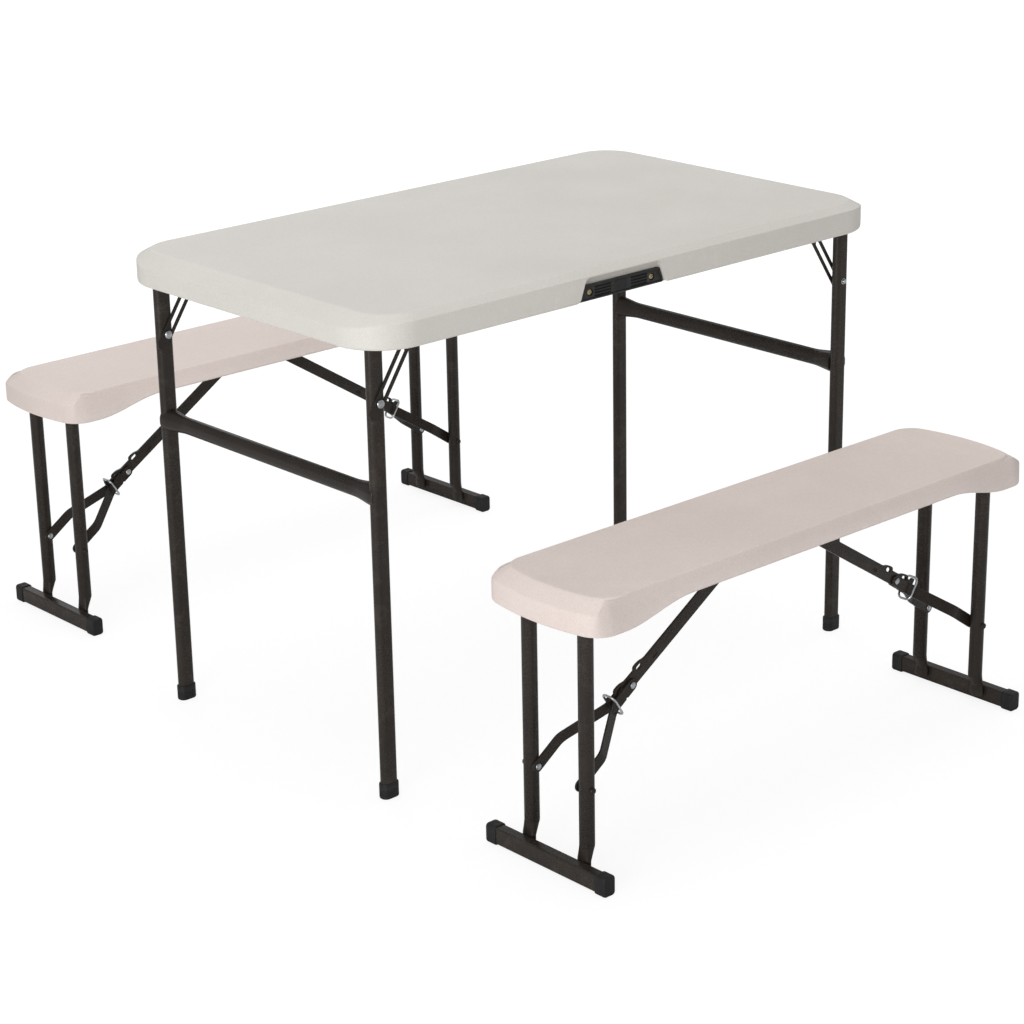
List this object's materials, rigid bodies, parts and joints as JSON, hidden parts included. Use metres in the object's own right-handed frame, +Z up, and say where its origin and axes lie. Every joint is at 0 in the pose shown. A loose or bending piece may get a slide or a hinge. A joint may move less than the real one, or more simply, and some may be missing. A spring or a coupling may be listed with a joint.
{
  "type": "folding picnic table with benches",
  "caption": "Portable moulded-top folding table with separate folding benches; tubular legs swing flat under the panels on stays, brace straps and lock rings.",
  "frame": {"origin": "on the floor, at the middle of the box round the whole set", "axes": "Z is up; X runs along the long sides of the table and benches; the carry handle is on the -Y side of the table and the front bench stands at -Y"},
  "size_m": [1.05, 1.517, 0.739],
  "materials": {
    "tabletop": "off-white moulded polyethylene with a fine grain",
    "seat": "almond moulded polyethylene with a fine grain",
    "steel": "dark bronze powder coat",
    "grip": "black moulded grip",
    "rubber": "black foot caps",
    "zinc": "bright zinc plate"
  },
  "bodies": {
    "table": {"table_top": "tabletop", "carry_handle": "grip", "left_front_bracket": "steel", "left_rear_bracket": "steel", "left_hinge_rod": "steel", "right_front_bracket": "steel", "right_rear_bracket": "steel", "right_hinge_rod": "steel"},
    "left_legs": {"left_front_leg": "steel", "left_rear_leg": "steel", "left_crossbar": "steel", "left_front_foot": "rubber", "left_rear_foot": "rubber"},
    "left_front_stay": {"left_front_stay": "steel"},
    "left_front_stay_rivet": {"left_front_stay_rivet": "zinc"},
    "left_rear_stay": {"left_rear_stay": "steel"},
    "left_rear_stay_rivet": {"left_rear_stay_rivet": "zinc"},
    "right_legs": {"right_front_leg": "steel", "right_rear_leg": "steel", "right_crossbar": "steel", "right_front_foot": "rubber", "right_rear_foot": "rubber"},
    "right_front_stay": {"right_front_stay": "steel"},
    "right_front_stay_rivet": {"right_front_stay_rivet": "zinc"},
    "right_rear_stay": {"right_rear_stay": "steel"},
    "right_rear_stay_rivet": {"right_rear_stay_rivet": "zinc"},
    "front_bench_top": {"front_bench_seat": "seat", "front_bench_brace_bracket": "steel"},
    "front_bench_left_legs": {"front_bench_left_leg_frame": "steel", "front_bench_left_front_cap": "rubber", "front_bench_left_rear_cap": "rubber"},
    "front_bench_left_strap": {"front_bench_left_strap": "steel"},
    "front_bench_left_arms": {"front_bench_left_front_arm": "steel", "front_bench_left_rear_arm": "steel"},
    "front_bench_left_ring": {"front_bench_left_lock_ring": "zinc"},
    "front_bench_right_legs": {"front_bench_right_leg_frame": "steel", "front_bench_right_front_cap": "rubber", "front_bench_right_rear_cap": "rubber"},
    "front_bench_right_strap": {"front_bench_right_strap": "steel"},
    "front_bench_right_arms": {"front_bench_right_front_arm": "steel", "front_bench_right_rear_arm": "steel"},
    "front_bench_right_ring": {"front_bench_right_lock_ring": "zinc"},
    "rear_bench_top": {"rear_bench_seat": "seat", "rear_bench_brace_bracket": "steel"},
    "rear_bench_left_legs": {"rear_bench_left_leg_frame": "steel", "rear_bench_left_front_cap": "rubber", "rear_bench_left_rear_cap": "rubber"},
    "rear_bench_left_strap": {"rear_bench_left_strap": "steel"},
    "rear_bench_left_arms": {"rear_bench_left_front_arm": "steel", "rear_bench_left_rear_arm": "steel"},
    "rear_bench_left_ring": {"rear_bench_left_lock_ring": "zinc"},
    "rear_bench_right_legs": {"rear_bench_right_leg_frame": "steel", "rear_bench_right_front_cap": "rubber", "rear_bench_right_rear_cap": "rubber"},
    "rear_bench_right_strap": {"rear_bench_right_strap": "steel"},
    "rear_bench_right_arms": {"rear_bench_right_front_arm": "steel", "rear_bench_right_rear_arm": "steel"},
    "rear_bench_right_ring": {"rear_bench_right_lock_ring": "zinc"}
  },
  "joints": [
    {"name": "left_legs_fold", "type": "hinge", "parent": "table", "child": "left_legs", "pos_m": [-0.474, -0.068, 0.698], "axis": [0, -1, 0], "range_deg": [0, 90]},
    {"name": "left_front_stay_turn", "type": "hinge", "parent": "table", "child": "left_front_stay", "pos_m": [-0.412, -0.068, 0.698], "axis": [0, -1, 0], "range_deg": [0, 123.74]},
    {"name": "left_front_rivet_slide", "type": "slide", "parent": "left_front_stay", "child": "left_front_stay_rivet", "axis": [0.5547, 0, 0.8321], "range_m": [0, 0.08087]},
    {"name": "left_rear_stay_turn", "type": "hinge", "parent": "table", "child": "left_rear_stay", "pos_m": [-0.412, -0.068, 0.698], "axis": [0, -1, 0], "range_deg": [0, 123.74]},
    {"name": "left_rear_rivet_slide", "type": "slide", "parent": "left_rear_stay", "child": "left_rear_stay_rivet", "axis": [0.5547, 0, 0.8321], "range_m": [0, 0.08087]},
    {"name": "right_legs_fold", "type": "hinge", "parent": "table", "child": "right_legs", "pos_m": [0.474, -0.068, 0.698], "axis": [0, 1, 0], "range_deg": [0, 90]},
    {"name": "right_front_stay_turn", "type": "hinge", "parent": "table", "child": "right_front_stay", "pos_m": [0.412, -0.068, 0.698], "axis": [0, 1, 0], "range_deg": [0, 123.74]},
    {"name": "right_front_rivet_slide", "type": "slide", "parent": "right_front_stay", "child": "right_front_stay_rivet", "axis": [-0.5547, 0, 0.8321], "range_m": [0, 0.08087]},
    {"name": "right_rear_stay_turn", "type": "hinge", "parent": "table", "child": "right_rear_stay", "pos_m": [0.412, -0.068, 0.698], "axis": [0, 1, 0], "range_deg": [0, 123.74]},
    {"name": "right_rear_rivet_slide", "type": "slide", "parent": "right_rear_stay", "child": "right_rear_stay_rivet", "axis": [-0.5547, 0, 0.8321], "range_m": [0, 0.08087]},
    {"name": "front_bench_place", "type": "slide", "parent": "table", "child": "front_bench_top", "axis": [0, 1, 0], "range_m": [-0.15, 0.12]},
    {"name": "front_bench_left_fold", "type": "hinge", "parent": "front_bench_top", "child": "front_bench_left_legs", "pos_m": [-0.44, -0.638, 0.384], "axis": [0, -1, 0], "range_deg": [0, 90]},
    {"name": "front_bench_left_strap_turn", "type": "hinge", "parent": "front_bench_top", "child": "front_bench_left_strap", "pos_m": [-0.061, -0.638, 0.382], "axis": [0, -1, 0], "range_deg": [-32.57, 0]},
    {"name": "front_bench_left_arms_turn", "type": "hinge", "parent": "front_bench_left_strap", "child": "front_bench_left_arms", "pos_m": [-0.3025, -0.638, 0.228], "axis": [0, -1, 0], "range_deg": [0, 180]},
    {"name": "front_bench_left_ring_slide", "type": "slide", "parent": "front_bench_left_strap", "child": "front_bench_left_ring", "axis": [0.8432, 0, 0.5377], "range_m": [0, 0.2401]},
    {"name": "front_bench_right_fold", "type": "hinge", "parent": "front_bench_top", "child": "front_bench_right_legs", "pos_m": [0.402, -0.638, 0.384], "axis": [0, 1, 0], "range_deg": [0, 90]},
    {"name": "front_bench_right_strap_turn", "type": "hinge", "parent": "front_bench_top", "child": "front_bench_right_strap", "pos_m": [0.023, -0.638, 0.382], "axis": [0, 1, 0], "range_deg": [-32.57, 0]},
    {"name": "front_bench_right_arms_turn", "type": "hinge", "parent": "front_bench_right_strap", "child": "front_bench_right_arms", "pos_m": [0.2645, -0.638, 0.228], "axis": [0, 1, 0], "range_deg": [0, 180]},
    {"name": "front_bench_right_ring_slide", "type": "slide", "parent": "front_bench_right_strap", "child": "front_bench_right_ring", "axis": [-0.8432, 0, 0.5377], "range_m": [0, 0.2401]},
    {"name": "rear_bench_place", "type": "slide", "parent": "table", "child": "rear_bench_top", "axis": [0, -1, 0], "range_m": [-0.15, 0.12]},
    {"name": "rear_bench_left_fold", "type": "hinge", "parent": "rear_bench_top", "child": "rear_bench_left_legs", "pos_m": [-0.4075, 0.638, 0.384], "axis": [0, -1, 0], "range_deg": [0, 90]},
    {"name": "rear_bench_left_strap_turn", "type": "hinge", "parent": "rear_bench_top", "child": "rear_bench_left_strap", "pos_m": [-0.0285, 0.638, 0.382], "axis": [0, -1, 0], "range_deg": [-32.57, 0]},
    {"name": "rear_bench_left_arms_turn", "type": "hinge", "parent": "rear_bench_left_strap", "child": "rear_bench_left_arms", "pos_m": [-0.27, 0.638, 0.228], "axis": [0, -1, 0], "range_deg": [0, 180]},
    {"name": "rear_bench_left_ring_slide", "type": "slide", "parent": "rear_bench_left_strap", "child": "rear_bench_left_ring", "axis": [0.8432, 0, 0.5377], "range_m": [0, 0.2401]},
    {"name": "rear_bench_right_fold", "type": "hinge", "parent": "rear_bench_top", "child": "rear_bench_right_legs", "pos_m": [0.4345, 0.638, 0.384], "axis": [0, 1, 0], "range_deg": [0, 90]},
    {"name": "rear_bench_right_strap_turn", "type": "hinge", "parent": "rear_bench_top", "child": "rear_bench_right_strap", "pos_m": [0.0555, 0.638, 0.382], "axis": [0, 1, 0], "range_deg": [-32.57, 0]},
    {"name": "rear_bench_right_arms_turn", "type": "hinge", "parent": "rear_bench_right_strap", "child": "rear_bench_right_arms", "pos_m": [0.297, 0.638, 0.228], "axis": [0, 1, 0], "range_deg": [0, 180]},
    {"name": "rear_bench_right_ring_slide", "type": "slide", "parent": "rear_bench_right_strap", "child": "rear_bench_right_ring", "axis": [-0.8432, 0, 0.5377], "range_m": [0, 0.2401]}
  ],
  "couplings": [
    {"joint": "left_front_stay_turn", "follows": "left_legs_fold", "ratio": 1.3743},
    {"joint": "left_front_rivet_slide", "follows": "left_legs_fold", "m_per_rad": 0.051421},
    {"joint": "left_rear_stay_turn", "follows": "left_legs_fold", "ratio": 1.3743},
    {"joint": "left_rear_rivet_slide", "follows": "left_legs_fold", "m_per_rad": 0.051421},
    {"joint": "right_front_stay_turn", "follows": "right_legs_fold", "ratio": 1.3743},
    {"joint": "right_front_rivet_slide", "follows": "right_legs_fold", "m_per_rad": 0.051421},
    {"joint": "right_rear_stay_turn", "follows": "right_legs_fold", "ratio": 1.3743},
    {"joint": "right_rear_rivet_slide", "follows": "right_legs_fold", "m_per_rad": 0.051421},
    {"joint": "front_bench_left_strap_turn", "follows": "front_bench_left_fold", "ratio": -0.36139},
    {"joint": "front_bench_left_arms_turn", "follows": "front_bench_left_fold", "ratio": 1.9765},
    {"joint": "front_bench_left_ring_slide", "follows": "front_bench_left_fold", "m_per_rad": 0.15279},
    {"joint": "front_bench_right_strap_turn", "follows": "front_bench_right_fold", "ratio": -0.36139},
    {"joint": "front_bench_right_arms_turn", "follows": "front_bench_right_fold", "ratio": 1.9765},
    {"joint": "front_bench_right_ring_slide", "follows": "front_bench_right_fold", "m_per_rad": 0.15279},
    {"joint": "rear_bench_left_strap_turn", "follows": "rear_bench_left_fold", "ratio": -0.36139},
    {"joint": "rear_bench_left_arms_turn", "follows": "rear_bench_left_fold", "ratio": 1.9765},
    {"joint": "rear_bench_left_ring_slide", "follows": "rear_bench_left_fold", "m_per_rad": 0.15279},
    {"joint": "rear_bench_right_strap_turn", "follows": "rear_bench_right_fold", "ratio": -0.36139},
    {"joint": "rear_bench_right_arms_turn", "follows": "rear_bench_right_fold", "ratio": 1.9765},
    {"joint": "rear_bench_right_ring_slide", "follows": "rear_bench_right_fold", "m_per_rad": 0.15279}
  ]
}
